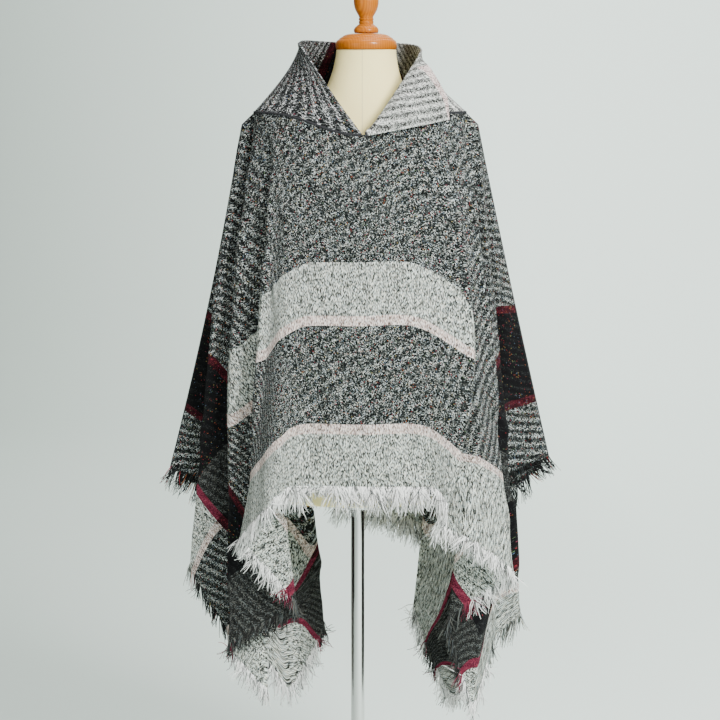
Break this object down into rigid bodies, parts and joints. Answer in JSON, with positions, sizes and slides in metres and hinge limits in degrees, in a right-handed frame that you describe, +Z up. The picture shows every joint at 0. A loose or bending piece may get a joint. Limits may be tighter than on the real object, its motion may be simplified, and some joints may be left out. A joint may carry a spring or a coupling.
{
  "type": "knitted poncho sweater on a dress form",
  "caption": "Knitted blanket poncho with a wide stand collar whose front corner turns out, its sides falling in folds to fringed corners, worn by a limbless dress form on a pole with a foot.",
  "frame": {"origin": "on the floor, under the middle of the shoulders, on the underside of the round foot", "axes": "+Z up; the garment's front faces -Y, and +X is the right of a viewer who stands in front of it"},
  "size_m": [0.6951, 0.3685, 1.5796],
  "materials": {
    "tweed_cloth": "soft brushed knit, flecked",
    "fringe_yarn": "loose wool yarn",
    "form_linen": "plain woven linen, stretched",
    "turned_wood": "varnished, glossy",
    "pole_steel": "polished"
  },
  "bodies": {
    "root": {"front": "tweed_cloth", "back": "tweed_cloth", "collar": "tweed_cloth", "fringe_front": "fringe_yarn", "fringe_back": "fringe_yarn", "form_body": "form_linen", "neck_cap": "turned_wood", "finial": "turned_wood", "pole": "pole_steel", "base_plate": "pole_steel", "pole_socket": "pole_steel"}
  },
  "joints": []
}
